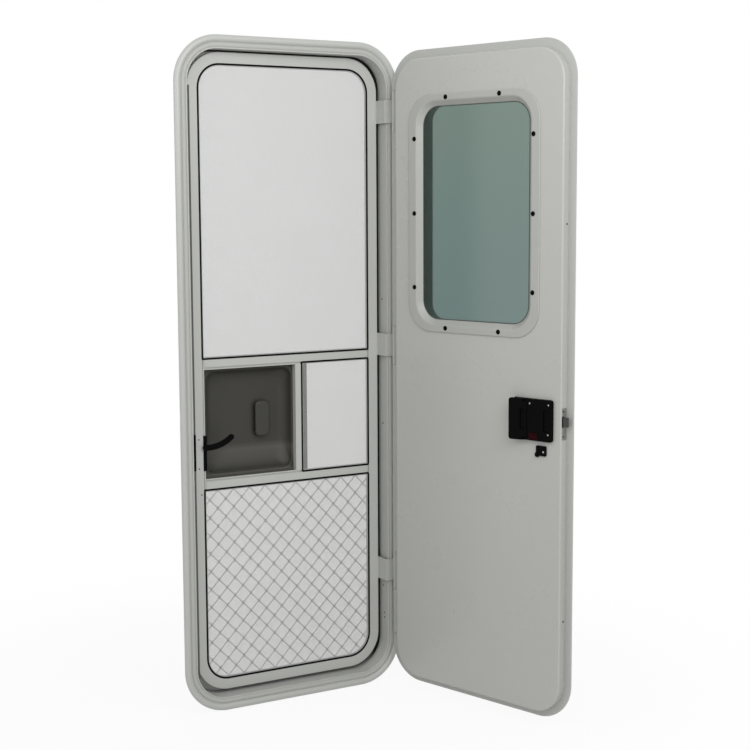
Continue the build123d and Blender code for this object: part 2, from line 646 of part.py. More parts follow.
def mesh(x0, x1, z0, z1, top_radius, bottom_radius):
    """Sheet of fly mesh, laid on the lips inside its spline: a coarse grid stands for the weave."""
    half = GROOVE / 2
    border = half + LIP

    def inside(inset):
        return panel_outline(x0 + inset, x1 - inset, z0 + inset, z1 - inset,
                             max(top_radius - inset, LIP_DROP), max(bottom_radius - inset, LIP_DROP))

    across, up = round((x1 - x0) / MESH_PITCH), round((z1 - z0) / MESH_PITCH)
    step_x, step_z = (x1 - x0 - 2 * border) / across, (z1 - z0 - 2 * border) / up
    cell = Pos((x0 + x1) / 2, (z0 + z1) / 2) * Rectangle(step_x - MESH_STRAND, step_z - MESH_STRAND)
    cells = [place * cell for place in GridLocations(step_x, step_z, across, up)]
    openings = inside(border) & (Sketch() + cells)
    return plate(inside(half) - openings, LIP_Y - MESH_T, LIP_Y)


def security_grille():
    """Diamond grille: one flat bar lattice, whose border is set behind the lips of the bottom panel."""
    z0 = SCREEN_Z0 + RAIL_W
    z1 = LOWER_RAIL_Z - MID_HALF
    corner = SCREEN_R - RAIL_W
    lap = RAIL_W - BOX_W - GRILLE_GAP
    outline = rectangle(-RAIL_X - lap, RAIL_X + lap, z0 - lap, z1 + GROOVE + LIP - GRILLE_GAP)
    outline = fillet([v for v in outline.vertices() if v.Y < z0], corner + lap)
    field = rectangle(-RAIL_X, RAIL_X, z0, z1)
    field = fillet([v for v in field.vertices() if v.Y < (z0 + z1) / 2], corner)
    step_x = 2 * RAIL_X / GRILLE_ACROSS
    step_z = (z1 - z0) / GRILLE_UP
    side_distance = step_x * step_z / 2 / hypot(step_x, step_z)
    shrink = 1 - GRILLE_BAR / 2 / side_distance
    half_x = step_x / 2 * shrink
    half_z = step_z / 2 * shrink
    cells = []
    for row in range(int(2 * GRILLE_UP) + 2):
        for column in range(int(GRILLE_ACROSS) + 2):
            x = -RAIL_X + (column + (row % 2) / 2 - GRILLE_START) * step_x
            z = z0 + row * step_z / 2
            diamond = make_face(Polyline((x - half_x, z), (x, z - half_z), (x + half_x, z), (x, z + half_z),
                                         close=True))
            cells.append(diamond)
    holes = Sketch() + cells
    return plate(outline - (holes & field), RAIL_LIP_BACK, RAIL_LIP_BACK + GRILLE_T)


def hatch_tray():
    """Moulded tray: a flat flange in the channels and a tapered dish with a sloping floor and a grip."""
    y0 = SCREEN_BACK + TRAY_GAP
    y1 = y0 + TRAY_T
    z0 = LOWER_RAIL_Z + CHANNEL_T + TRAY_GAP
    z1 = UPPER_RAIL_Z - CHANNEL_T - TRAY_GAP
    dish_z0 = LOWER_RAIL_Z + MID_HALF + CHANNEL_LIP + DISH_MARGIN
    dish_z1 = UPPER_RAIL_Z - MID_HALF - CHANNEL_LIP - DISH_MARGIN

    def bowl(grow, deep):
        """Pan whose walls start square to the flange and curve, as a quarter of an ellipse, into the floor."""
        sections = []
        for step in DISH_STEPS:
            lean = 1 - (1 - step ** 2) ** 0.5
            run = DISH_RUN * lean - grow
            outline = rectangle(DISH_LEFT + run, DISH_RIGHT - run, dish_z0 + DISH_SLOPE * lean - grow, dish_z1 - run,
                                DISH_R + (DISH_FLOOR_R - DISH_R) * lean + grow)
            sections.append(Plane.XZ.offset(-y0 - (deep - y0) * step) * outline)
        return loft(sections)

    deep = y0 + DISH_DEPTH
    flange = plate(rectangle(TRAY_LEFT, TRAY_RIGHT, z0, z1), y0, y1)
    dish = flange + bowl(TRAY_T, deep + TRAY_T) - bowl(0, deep)
    dish = fillet(dish.faces().sort_by(Axis.Y)[0].inner_wires()[0].edges(), DISH_LIP)
    grip = plate(rectangle(GRIP_X - GRIP_W / 2, GRIP_X + GRIP_W / 2, GRIP_Z - GRIP_H / 2, GRIP_Z + GRIP_H / 2,
                           GRIP_W / 3), deep - GRIP_RISE, deep + TRAY_T)
    grip = fillet(grip.faces().sort_by(Axis.Y)[0].edges(), GRIP_ROUND)
    pocket = block(GRIP_X - GRIP_W / 2, GRIP_X - GRIP_W / 2 + GRIP_POCKET, deep - GRIP_RISE + GRIP_WALL, deep,
                   GRIP_Z - GRIP_H / 2 + GRIP_POCKET, GRIP_Z + GRIP_H / 2 - GRIP_POCKET)
    return dish + (grip - pocket)


def screen_lever():
    """Curved lever in front of the lock stile, on a pin through the lock case."""
    end = (LEVER_X + LEVER_REACH, LEVER_Z + LEVER_RISE)
    arm = trace(SagittaArc((LEVER_X, LEVER_Z), end, -LEVER_SAG), LEVER_W) + Pos(*end) * Circle(LEVER_W / 2)
    hub = Pos(LEVER_X, LEVER_Z) * Circle(LEVER_HUB_R)
    hole = Pos(LEVER_X, LEVER_Z) * Circle(LEVER_PIN_R + PIN_CLEAR)
    return plate(arm + hub - hole, LEVER_Y - LEVER_T, LEVER_Y)


def screen_pieces():
    profile = screen_profile()
    panels = {
        "upper": (-SPLINE_X, SPLINE_X, UPPER_RAIL_Z + MID_SPLINE, SCREEN_Z1 - SPLINE_IN,
                  SCREEN_R - SPLINE_IN, GROOVE),
        "side": (MULLION_SPLINE, SPLINE_X, LOWER_RAIL_Z + MID_SPLINE, UPPER_RAIL_Z - MID_SPLINE, GROOVE, GROOVE),
        "lower": (-SPLINE_X, SPLINE_X, SCREEN_Z0 + SPLINE_IN, LOWER_RAIL_Z - MID_SPLINE,
                  GROOVE, SCREEN_R - SPLINE_IN),
    }
    pieces = {}
    rings = Part()
    for name, panel in panels.items():
        ring = spline(*panel)
        rings += ring
        pieces[f"{name}_spline"] = ring
        pieces[f"{name}_mesh"] = mesh(*panel)
    stile = jamb(profile, SCREEN_X, SCREEN_Z0 + SCREEN_R, SCREEN_Z1 - SCREEN_R)
    lock_z0 = SCREEN_LOCK_Z - SCREEN_LOCK_H / 2
    lock_z1 = SCREEN_LOCK_Z + SCREEN_LOCK_H / 2
    lock_x0 = LEVER_X - SCREEN_LOCK_W / 2
    case = block(lock_x0, lock_x0 + SCREEN_LOCK_W, SCREEN_Y - LIP_DROP, SCREEN_BACK - LIP_DROP, lock_z0, lock_z1)
    case += block(-BOX_X, lock_x0, RAIL_LIP_BACK, SCREEN_BACK - LIP_DROP, lock_z0, lock_z1)
    pivot = round_pin(LEVER_X, LEVER_Z, LEVER_Y - LEVER_T, SCREEN_Y - LIP_DROP, LEVER_PIN_R)
    boss = round_pin(LEVER_X, LEVER_Z, LEVER_Y + KNUCKLE_GAP / 2, SCREEN_Y - LIP_DROP,
                     SCREEN_LOCK_W / 2)
    low = LOWER_RAIL_Z + MID_HALF
    high = UPPER_RAIL_Z - MID_HALF
    under_lip = GROOVE + LIP
    mullion = block(MULLION_X, MULLION_X + MULLION_FACE, SCREEN_Y, RAIL_LIP_BACK, low, high)
    mullion += block(MULLION_X, MULLION_X + MULLION_FACE, RAIL_LIP_BACK, SCREEN_BACK, low - under_lip,
                     high + under_lip)
    mullion += block(MULLION_X, MULLION_END, SCREEN_Y + GROOVE_DEPTH, RAIL_LIP_BACK, low, high)
    mullion += block(MULLION_END - LIP, MULLION_END, LIP_Y, RAIL_LIP_BACK, low, high)
    straps = Part()
    for z in STRAP_Z:
        straps += strap(z)
    pieces.update({
        "screen_head_rail": bent_end(profile, SCREEN_X, SCREEN_Z1, SCREEN_R, True),
        "screen_foot_rail": bent_end(profile, SCREEN_X, SCREEN_Z0, SCREEN_R, False),
        "screen_lock_stile": stile - case - rings,
        "screen_hinge_stile": mirror(stile, Plane.YZ) - rings,
        "upper_mid_rail": mid_rail(UPPER_RAIL_Z, -1) - rings,
        "lower_mid_rail": mid_rail(LOWER_RAIL_Z, 1) - rings,
        "screen_mullion": mullion - rings,
        "screen_hinge_straps": straps,
        "screen_lock_case": case + boss + pivot,
        "screen_lever": screen_lever(),
        "security_grille": security_grille(),
        "hatch_tray": hatch_tray(),
    })
    return pieces


os.makedirs("parts", exist_ok=True)
frame = frame_pieces()
frame["frame_hinge_knuckles"] = fixed_knuckles(frame["frame_hinge_jamb"])
frame["hinge_pin"] = upright(HINGE_X, HINGE_Y, HINGE_Z0 - LEAF_T, HINGE_Z1 + LEAF_T, PIN_R)
for piece_name, solid in frame.items():
    write(piece_name, solid)
for piece_name, solid in main_door_pieces().items():
    write(piece_name, opened(solid))
for piece_name, solid in screen_pieces().items():
    write(piece_name, solid)
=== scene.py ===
"""Looks of a caravan entry door: a bent frame, an open main door with a window, and a fly-screen door."""
import json
import math

import bpy
from mathutils import Matrix, Vector


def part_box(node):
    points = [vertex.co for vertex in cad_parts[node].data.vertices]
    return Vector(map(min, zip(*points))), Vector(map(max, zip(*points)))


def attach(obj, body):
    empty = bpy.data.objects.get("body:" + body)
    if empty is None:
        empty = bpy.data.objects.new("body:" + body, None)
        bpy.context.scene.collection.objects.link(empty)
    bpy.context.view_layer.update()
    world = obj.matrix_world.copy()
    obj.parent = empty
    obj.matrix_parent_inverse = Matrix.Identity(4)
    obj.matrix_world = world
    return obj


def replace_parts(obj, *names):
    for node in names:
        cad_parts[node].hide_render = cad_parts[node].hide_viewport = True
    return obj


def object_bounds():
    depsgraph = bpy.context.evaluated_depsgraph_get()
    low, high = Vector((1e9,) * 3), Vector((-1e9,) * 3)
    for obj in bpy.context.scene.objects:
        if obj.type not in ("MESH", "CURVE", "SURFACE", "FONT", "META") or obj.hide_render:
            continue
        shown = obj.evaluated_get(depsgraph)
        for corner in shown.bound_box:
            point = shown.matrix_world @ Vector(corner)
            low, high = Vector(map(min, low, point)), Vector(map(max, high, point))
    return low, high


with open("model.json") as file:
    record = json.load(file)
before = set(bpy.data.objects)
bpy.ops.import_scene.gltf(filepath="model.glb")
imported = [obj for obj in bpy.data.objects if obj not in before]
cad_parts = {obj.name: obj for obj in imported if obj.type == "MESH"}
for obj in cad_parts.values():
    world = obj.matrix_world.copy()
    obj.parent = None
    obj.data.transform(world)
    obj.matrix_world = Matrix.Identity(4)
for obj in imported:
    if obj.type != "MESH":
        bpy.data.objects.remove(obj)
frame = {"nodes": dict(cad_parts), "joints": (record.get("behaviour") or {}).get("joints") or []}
cad_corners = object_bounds()


# Studio: a plain pale floor and a white surround, with soft light from three panels in front and above.
# The camera stands at eye height in front of the frame's lock side, as in the photograph.
class Wire:
    """One socket in a node tree. Sums of wires are written as plain Python."""

    def __init__(self, tree, socket=None):
        self.tree = tree
        self.socket = socket

    def node(self, kind, settings=None, sockets=None, output=0):
        """Adds a node: its settings first, then the values or links of its sockets."""
        made = self.tree.nodes.new(kind)
        for name, value in (settings or {}).items():
            setattr(made, name, value)
        for name, value in (sockets or {}).items():
            for source in value if isinstance(value, list) else [value]:
                if isinstance(source, Wire):
                    self.tree.links.new(source.socket, made.inputs[name])
                else:
                    made.inputs[name].default_value = source
        return Wire(self.tree, made.outputs[output] if made.outputs else None)

    def output(self, name):
        """Another output of the node that this wire comes from."""
        return Wire(self.tree, self.socket.node.outputs[name])

    def math(self, operation, first, second=0.0):
        return self.node("ShaderNodeMath", {"operation": operation}, {0: first, 1: second})

    def __add__(self, other):
        return self.math("ADD", self, other)

    def __radd__(self, other):
        return self.math("ADD", other, self)

    def __sub__(self, other):
        return self.math("SUBTRACT", self, other)

    def __rsub__(self, other):
        return self.math("SUBTRACT", other, self)

    def __mul__(self, other):
        return self.math("MULTIPLY", self, other)

    def __rmul__(self, other):
        return self.math("MULTIPLY", other, self)

    def __truediv__(self, other):
        return self.math("DIVIDE", self, other)

    def __rtruediv__(self, other):
        return self.math("DIVIDE", other, self)


def link_object(name, data):
    piece = bpy.data.objects.new(name, data)
    bpy.context.scene.collection.objects.link(piece)
    return piece


EYE = Vector((-1.9082, -3.7929, 1.4234))
YAW, PITCH, ROLL = math.radians(29.89), math.radians(-6.61), math.radians(-0.28)
LENS_MM, SENSOR_MM = 71.38, 36
ahead = Vector((math.sin(YAW) * math.cos(PITCH), math.cos(YAW) * math.cos(PITCH), math.sin(PITCH)))
level = Vector((math.cos(YAW), -math.sin(YAW), 0))
above = level.cross(ahead)
right = math.cos(ROLL) * level + math.sin(ROLL) * above
up = math.cos(ROLL) * above - math.sin(ROLL) * level
camera = link_object("camera", bpy.data.cameras.new("camera"))
camera.data.lens = LENS_MM
camera.data.sensor_width = SENSOR_MM
camera.matrix_world = Matrix.Translation(EYE) @ Matrix((right, up, -ahead)).transposed().to_4x4()
bpy.context.scene.camera = camera
bpy.context.scene.view_settings.view_transform = "Standard"


def seen_directly(tree):
    """1 for rays from the camera, straight or by glass and mirrors, and 0 for rays that light the object."""
    path = tree.node("ShaderNodeLightPath")
    mirrored = path.math("MAXIMUM", path.output("Is Glossy Ray"), path.output("Is Transmission Ray"))
    return path.math("MAXIMUM", path, mirrored)


WHITE = (1, 1, 1, 1)
SURROUND_LIGHT = 0.65
world = bpy.data.worlds.new("white surround")
world.use_nodes = True
world.node_tree.nodes.clear()
sky = Wire(world.node_tree)
glow = SURROUND_LIGHT + seen_directly(sky) * (1 - SURROUND_LIGHT)
surround = sky.node("ShaderNodeBackground", sockets={"Color": WHITE, "Strength": glow})
sky.node("ShaderNodeOutputWorld", sockets={"Surface": surround})
bpy.context.scene.world = world


def new_finish(name):
    """A material with no nodes yet, a wire to start its nodes from, and the place on the piece."""
    material = bpy.data.materials.new(name)
    material.use_nodes = True
    material.node_tree.nodes.clear()
    shade = Wire(material.node_tree)
    return material, shade, shade.node("ShaderNodeTexCoord").output("Object")


FLOOR_SIZE = 30.0
FLOOR_GAP = 0.0005
FLOOR_GREY = (0.85, 0.85, 0.85, 1)
FADE_START, FADE_END = 0.5, 1.8
NEAR_WHITE = 0.9
floor_level = cad_corners[0].z - FLOOR_GAP
floor_mesh = bpy.data.meshes.new("floor")
half = FLOOR_SIZE / 2
floor_corners = [(x * half, y * half, floor_level) for x, y in ((-1, -1), (1, -1), (1, 1), (-1, 1))]
floor_mesh.from_pydata(floor_corners, [], [(0, 1, 2, 3)])
floor = link_object("floor", floor_mesh)
floor_paint, shade, place = new_finish("pale floor")
away = shade.node("ShaderNodeVectorMath", {"operation": "LENGTH"}, {0: place}, output="Value")
fade = shade.node("ShaderNodeMapRange", {"interpolation_type": "SMOOTHSTEP"}, {
    "Value": away, "From Min": FADE_START, "From Max": FADE_END, "To Min": NEAR_WHITE, "To Max": 1.0})
matte = shade.node("ShaderNodeBsdfDiffuse", sockets={"Color": FLOOR_GREY})
white = shade.node("ShaderNodeEmission", sockets={"Color": WHITE})
shown = shade.node("ShaderNodeMixShader", sockets={0: seen_directly(shade) * fade, 1: matte, 2: white})
shade.node("ShaderNodeOutputMaterial", sockets={"Surface": shown})
floor_mesh.materials.append(floor_paint)


def soft_panel(name, place, aim, size, watts):
    """A square light panel that faces a point of the object."""
    lamp = bpy.data.lights.new(name, "AREA")
    lamp.size = size
    lamp.energy = watts
    panel = link_object(name, lamp)
    panel.location = place
    panel.rotation_euler = (Vector(aim) - Vector(place)).to_track_quat("-Z", "Y").to_euler()


soft_panel("front panel", place=(0.1, -2.8, 2.4), aim=(0.0, 0.0, 1.2), size=1.5, watts=30)
soft_panel("side panel", place=(-1.8, -0.7, 2.0), aim=(0.2, -0.2, 1.2), size=1.2, watts=7)
soft_panel("upper panel", place=(-0.5, -1.3, 2.1), aim=(-0.1, 0.0, 1.8), size=0.8, watts=3)


# Frame: aluminium section bent round the corners and powder coated a pale warm grey, with the fixed
# hinge knuckles welded to its hinge jamb.
CLOUD_SCALE, CLOUD_DETAIL = 6.0, 3.0
CLOUD_MEAN = 0.5
ROUGHNESS_SWING = 0.06
PEEL_DEPTH = 0.0005
COLOUR_A, COLOUR_B, COLOUR_MIXED = 6, 7, 2


def coat(name, colour, roughness, gloss=0.5, mottle=0.03, peel=0.04, peel_size=0.0012, height_tone=None):
    """Paint, rubber or moulded plastic: even colour with a faint mottle and a fine grained surface.

    height_tone takes the height as a wire and gives a tone to multiply the colour by: painted highlight and
    shade by height on the tray, and a paler foot on the gasket."""
    material, shade, place = new_finish(name)
    cloud = shade.node("ShaderNodeTexNoise", sockets={
        "Vector": place, "Scale": CLOUD_SCALE, "Detail": CLOUD_DETAIL})
    tone = 1 - mottle / 2 + cloud * mottle
    if height_tone:
        tone = tone * height_tone(shade.node("ShaderNodeSeparateXYZ", sockets={"Vector": place}).output("Z"))
    tint = shade.node("ShaderNodeMix", {"data_type": "RGBA", "blend_type": "MULTIPLY"}, {
        "Factor": 1.0, COLOUR_A: (*colour, 1), COLOUR_B: tone}, output=COLOUR_MIXED)
    grain = shade.node("ShaderNodeTexNoise", sockets={"Vector": place, "Scale": 1 / peel_size})
    relief = shade.node("ShaderNodeBump", sockets={
        "Strength": peel, "Distance": PEEL_DEPTH, "Height": grain})
    surface = shade.node("ShaderNodeBsdfPrincipled", sockets={
        "Base Color": tint, "Roughness": roughness + (cloud - CLOUD_MEAN) * ROUGHNESS_SWING,
        "Specular IOR Level": gloss, "Normal": relief})
    shade.node("ShaderNodeOutputMaterial", sockets={"Surface": surface})
    return material


def dress(material, *nodes):
    """Gives loaded solids a finish."""
    for node in nodes:
        mesh = frame["nodes"][node].data
        mesh.materials.clear()
        mesh.materials.append(material)


frame_coat = coat("pale grey powder coat", colour=(0.465, 0.472, 0.448), roughness=0.36)
dress(frame_coat, "frame_head", "frame_sill", "frame_lock_jamb", "frame_hinge_jamb", "frame_hinge_knuckles")


# Door seal: a soft grey rubber bulb pressed into the channel of the flange all the way round, which
# the shut main door squeezes.
seal_rubber = coat("pale grey rubber", colour=(0.44, 0.445, 0.42), roughness=0.6, gloss=0.3, peel=0.1)
dress(seal_rubber, "frame_seal")


# Stop gasket: a black rubber strip stuck into the corner between the frame's wall and its stop, where
# the screen's edge comes to rest. It runs round in one length, and its colour turns paler towards the sill.
def new_tree(name, sizes):
    """A geometry tree with named inputs, each a name and a socket kind."""
    tree = bpy.data.node_groups.new(name, "GeometryNodeTree")
    for title, kind in sizes.items():
        tree.interface.new_socket(title, in_out="INPUT", socket_type=kind)
    tree.interface.new_socket("Geometry", in_out="OUTPUT", socket_type=GEOMETRY)
    return tree, Wire(tree).node("NodeGroupInput")


def close_tree(inputs, shape):
    """Ends a tree: instances become real and take the tree's material."""
    real = inputs.node("GeometryNodeRealizeInstances", sockets={"Geometry": shape})
    painted = inputs.node("GeometryNodeSetMaterial",
                          sockets={"Geometry": real, "Material": inputs.output("Material")})
    inputs.node("NodeGroupOutput", sockets={"Geometry": painted})


def grow(name, tree, sizes, points=()):
    """Runs a tree on points with the sizes given, and keeps the result as a plain mesh."""
    start = bpy.data.meshes.new(name + " start")
    start.from_pydata([tuple(point) for point in points], [], [])
    piece = link_object(name, start)
    modifier = piece.modifiers.new("shape", "NODES")
    modifier.node_group = tree
    for item in tree.interface.items_tree:
        if item.in_out == "INPUT" and item.name in sizes:
            modifier[item.identifier] = sizes[item.name]
    made = piece.evaluated_get(bpy.context.evaluated_depsgraph_get())
    mesh = bpy.data.meshes.new_from_object(made)
    piece.modifiers.remove(modifier)
    piece.data = mesh
    mesh.name = name
    return piece


def fit(piece, body):
    """Fixes a piece to a body."""
    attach(piece, body)
    return piece


FLOAT, VECTOR = "NodeSocketFloat", "NodeSocketVector"
GEOMETRY, MATERIAL = "NodeSocketGeometry", "NodeSocketMaterial"
CORNER_STEPS = 16
QUARTER_TURN = math.radians(90)
loop_tree, inputs = new_tree("rounded loop of strip", {
    "Centre": VECTOR, "Width": FLOAT, "Height": FLOAT, "Head Corner": FLOAT, "Foot Corner": FLOAT,
    "Strip Width": FLOAT, "Strip Depth": FLOAT, "Material": MATERIAL})
outline = inputs.node("GeometryNodeCurvePrimitiveQuadrilateral", sockets={
    "Width": inputs.output("Width"), "Height": inputs.output("Height")})
upright = inputs.node("ShaderNodeSeparateXYZ", sockets={
    "Vector": inputs.node("GeometryNodeInputPosition")}).output("Y")
at_head = inputs.math("GREATER_THAN", upright, 0.0)
bend = inputs.output("Head Corner") * at_head + inputs.output("Foot Corner") * (1 - at_head)
rounded = inputs.node("GeometryNodeFilletCurve", {"mode": "POLY"}, {
    "Curve": outline, "Count": CORNER_STEPS, "Radius": bend, "Limit Radius": True})
section = inputs.node("GeometryNodeCurvePrimitiveQuadrilateral", sockets={
    "Width": inputs.output("Strip Width"), "Height": inputs.output("Strip Depth")})
strip = inputs.node("GeometryNodeCurveToMesh", sockets={"Curve": rounded, "Profile Curve": section})
stood = inputs.node("GeometryNodeTransform", sockets={
    "Geometry": strip, "Translation": inputs.output("Centre"), "Rotation": (QUARTER_TURN, 0, 0)})
close_tree(inputs, stood)


def strip_loop(name, centre, size, corners, strip, material):
    """A closed loop of strip, standing upright.

    size is its width and height, corners those of head and foot, and strip the strip's width and depth."""
    return grow(name, loop_tree, {
        "Centre": centre, "Width": size[0], "Height": size[1], "Head Corner": corners[0],
        "Foot Corner": corners[1], "Strip Width": strip[0], "Strip Depth": strip[1], "Material": material})


def ramp(value, start, end, low, high):
    """A wire that goes from low to high while the value goes from start to end."""
    return value.node("ShaderNodeMapRange", sockets={
        "Value": value, "From Min": start, "From Max": end, "To Min": low, "To Max": high})


# Below these heights the gasket's colour turns paler towards the sill.
PALER_TOP, PALER_FULL, PALER_TONE = 0.060, 0.025, 14
sill_paler_rubber = coat("gasket rubber, paler at the sill", colour=(0.014, 0.014, 0.014), roughness=0.7,
                    gloss=0.06, mottle=0.3, peel=0.2,
                    height_tone=lambda height: ramp(height, PALER_TOP, PALER_FULL, 1, PALER_TONE))
GASKET_THICK, GASKET_DEEP = 0.003, 0.012
WALL_IN = 0.038
FRAME_CORNER = 0.130
STOP_THICK = 0.002
head_low, head_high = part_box("frame_head")
sill_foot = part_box("frame_sill")[0].z
gasket_in = WALL_IN + GASKET_THICK / 2
gasket_corner = FRAME_CORNER - gasket_in
stop_gasket = strip_loop(
    "stop_gasket", (0, head_high.y - STOP_THICK - GASKET_DEEP / 2, (head_high.z + sill_foot) / 2),
    (head_high.x - head_low.x - 2 * gasket_in, head_high.z - sill_foot - 2 * gasket_in),
    (gasket_corner, gasket_corner), (GASKET_THICK, GASKET_DEEP), sill_paler_rubber)
fit(stop_gasket, "frame")


# Frame screws: small dark pan heads with a cross recess, which hold the hinge jamb to the wall of the
# caravan. The lock jamb has a plated strike plate for the bolt.
HEAD_SEGMENTS, HEAD_RINGS = 16, 8
HEAD_HEIGHT, RECESS_WIDTH, RECESS_REACH, RECESS_DEPTH = 0.36, 0.22, 1.1, 0.5
screw_tree, inputs = new_tree("cross recessed screws", {
    "Geometry": GEOMETRY, "Facing": VECTOR, "Radius": FLOAT, "Material": MATERIAL})
ball = inputs.node("GeometryNodeMeshUVSphere", sockets={
    "Segments": HEAD_SEGMENTS, "Rings": HEAD_RINGS, "Radius": 1.0})
dome = inputs.node("GeometryNodeTransform", sockets={"Geometry": ball, "Scale": (1, 1, HEAD_HEIGHT)})
recess = []
for size in ((RECESS_REACH, RECESS_WIDTH, RECESS_DEPTH), (RECESS_WIDTH, RECESS_REACH, RECESS_DEPTH)):
    cutter = inputs.node("GeometryNodeMeshCube", sockets={"Size": size})
    recess.append(inputs.node("GeometryNodeTransform", sockets={
        "Geometry": cutter, "Translation": (0, 0, HEAD_HEIGHT)}))
pan_head = inputs.node("GeometryNodeMeshBoolean", {"operation": "DIFFERENCE"}, {
    "Mesh 1": dome, "Mesh 2": recess})
turned = inputs.node("FunctionNodeAlignRotationToVector", {"axis": "Z"}, {"Vector": inputs.output("Facing")})
set_out = inputs.node("GeometryNodeInstanceOnPoints", sockets={
    "Points": inputs.output("Geometry"), "Instance": pan_head, "Rotation": turned,
    "Scale": inputs.output("Radius")})
close_tree(inputs, set_out)


def screws(name, places, facing, radius, material, body):
    """Screw heads, half sunk at the places given."""
    heads = grow(name, screw_tree, {"Facing": facing, "Radius": radius, "Material": material}, places)
    fit(heads, body)


BRUSH_SCALE, BRUSH_DETAIL = 400.0, 2.0
BRUSH_MEAN, BRUSH_SWING = 0.5, 0.15


def bare_metal(name, colour, roughness):
    """Brushed or plated metal: fine streaks in the roughness."""
    material, shade, place = new_finish(name)
    brushed = shade.node("ShaderNodeTexNoise", sockets={
        "Vector": place, "Scale": BRUSH_SCALE, "Detail": BRUSH_DETAIL})
    surface = shade.node("ShaderNodeBsdfPrincipled", sockets={
        "Base Color": (*colour, 1), "Metallic": 1.0,
        "Roughness": roughness + (brushed - BRUSH_MEAN) * BRUSH_SWING})
    shade.node("ShaderNodeOutputMaterial", sockets={"Surface": surface})
    return material


plated_steel = bare_metal("zinc plated steel", colour=(0.40, 0.40, 0.385), roughness=0.42)
dark_steel = bare_metal("dark steel", colour=(0.07, 0.07, 0.066), roughness=0.4)
dress(plated_steel, "strike_plate")
jamb_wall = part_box("frame_hinge_jamb")[1].x - WALL_IN
JAMB_SCREWS = ((0.025, 1.139), (0.023, 0.767), (0.025, 0.269), (0.018, 0.185), (0.018, 0.171))
screws("jamb_screws", [(jamb_wall, depth, height) for depth, height in JAMB_SCREWS], facing=(-1, 0, 0),
       radius=0.0028, material=dark_steel, body="frame")


# Hinge: a zinc-plated steel pin runs through knuckles of the frame, the door's leaf and the screen's
# straps. The leaf is painted with the door.
dress(plated_steel, "hinge_pin")


# Main door: a painted outer skin, the lip section round it and the hinge leaf, with a smooth moulded
# liner on the inner side. Two screws in the lock edge hold liner and lip together.
door_paint = coat("pale grey door paint", colour=(0.447, 0.454, 0.43), roughness=0.32)
liner_plastic = coat("pale grey moulded liner", colour=(0.458, 0.463, 0.438), roughness=0.28, mottle=0.01,
                     peel=0.01)
dress(door_paint, "door_skin", "door_edge", "door_hinge_leaf")
dress(liner_plastic, "door_liner")

hinge = next(joint for joint in frame["joints"] if joint["name"] == "main_door_hinge")
pin = Matrix.Translation(Vector(hinge["pos_m"]))
door_angle = -math.radians(hinge["range_deg"][0])
door_turn = pin @ Matrix.Rotation(door_angle, 4, "Z") @ pin.inverted()
door_inward = (door_turn.to_3x3() @ Vector((0, 1, 0))).normalized()
door_lockward = (door_turn.to_3x3() @ Vector((-1, 0, 0))).normalized()


def on_door(x, y, z):
    """A point given on the shut door, moved to where the open door has it."""
    return door_turn @ Vector((x, y, z))


EDGE_SCREW_X, EDGE_SCREW_Y = -0.305, -0.0055
EDGE_SCREW_Z = (1.365, 0.288)
screws("door_edge_screws", [on_door(EDGE_SCREW_X, EDGE_SCREW_Y, z) for z in EDGE_SCREW_Z],
       facing=door_lockward, radius=0.003, material=dark_steel, body="main_door")


# Window: tinted toughened glass in a smoke grey seal, held by a moulded ring with ten black screws, and
# a matching trim outside.
trim_plastic = coat("pale grey window trim", colour=(0.51, 0.512, 0.478), roughness=0.4)
ring_plastic = coat("pale grey moulded ring", colour=(0.40, 0.405, 0.38), roughness=0.3, mottle=0.01,
                    peel=0.01)
dress(ring_plastic, "window_inner_ring")
dress(trim_plastic, "window_outer_trim")

# The glass's tint is painted paler towards its head, as a painted reflection.
FOOT_TINT, REFLECTION_HEAD_TINT = (0.150, 0.216, 0.203, 1), (0.170, 0.237, 0.208, 1)
TINT_FOOT, TINT_HEAD = 1.15, 1.65
RIPPLE_SCALE, RIPPLE_DETAIL, RIPPLE_SWING = 9.0, 1.0, 0.04
GLASS_ROUGHNESS = 0.14
glass, shade, place = new_finish("green tinted glass")
ripple = shade.node("ShaderNodeTexNoise", sockets={
    "Vector": place, "Scale": RIPPLE_SCALE, "Detail": RIPPLE_DETAIL})
height = shade.node("ShaderNodeSeparateXYZ", sockets={"Vector": place}).output("Z")
tint = shade.node("ShaderNodeMix", {"data_type": "RGBA"}, {
    "Factor": ramp(height, TINT_FOOT, TINT_HEAD, 0, 1), COLOUR_A: FOOT_TINT, COLOUR_B: REFLECTION_HEAD_TINT},
    output=COLOUR_MIXED)
pane = shade.node("ShaderNodeBsdfPrincipled", sockets={
    "Base Color": tint, "Roughness": GLASS_ROUGHNESS + ripple * RIPPLE_SWING, "IOR": 1.5,
    "Specular IOR Level": 0.2, "Transmission Weight": 1.0})
shade.node("ShaderNodeOutputMaterial", sockets={"Surface": pane})
dress(glass, "window_glass")

WINDOW_X, WINDOW_Z = 0.005, 1.39225
WINDOW_WIDTH, WINDOW_HEIGHT, WINDOW_CORNER = 0.384, 0.6025, 0.056
GLASS_FACE = 0.0005
BEAD = 0.0026
bead_corner = WINDOW_CORNER - BEAD / 2
glazing_seal = coat("smoke grey glazing seal", colour=(0.085, 0.098, 0.088), roughness=0.6, gloss=0.15,
                    mottle=0.1, peel=0.1)
glass_gasket = strip_loop(
    "glass_gasket", (WINDOW_X, GLASS_FACE + BEAD / 4, WINDOW_Z), (WINDOW_WIDTH - BEAD, WINDOW_HEIGHT - BEAD),
    (bead_corner, bead_corner), (BEAD, BEAD / 2), glazing_seal)
glass_gasket.data.transform(door_turn)
fit(glass_gasket, "main_door")

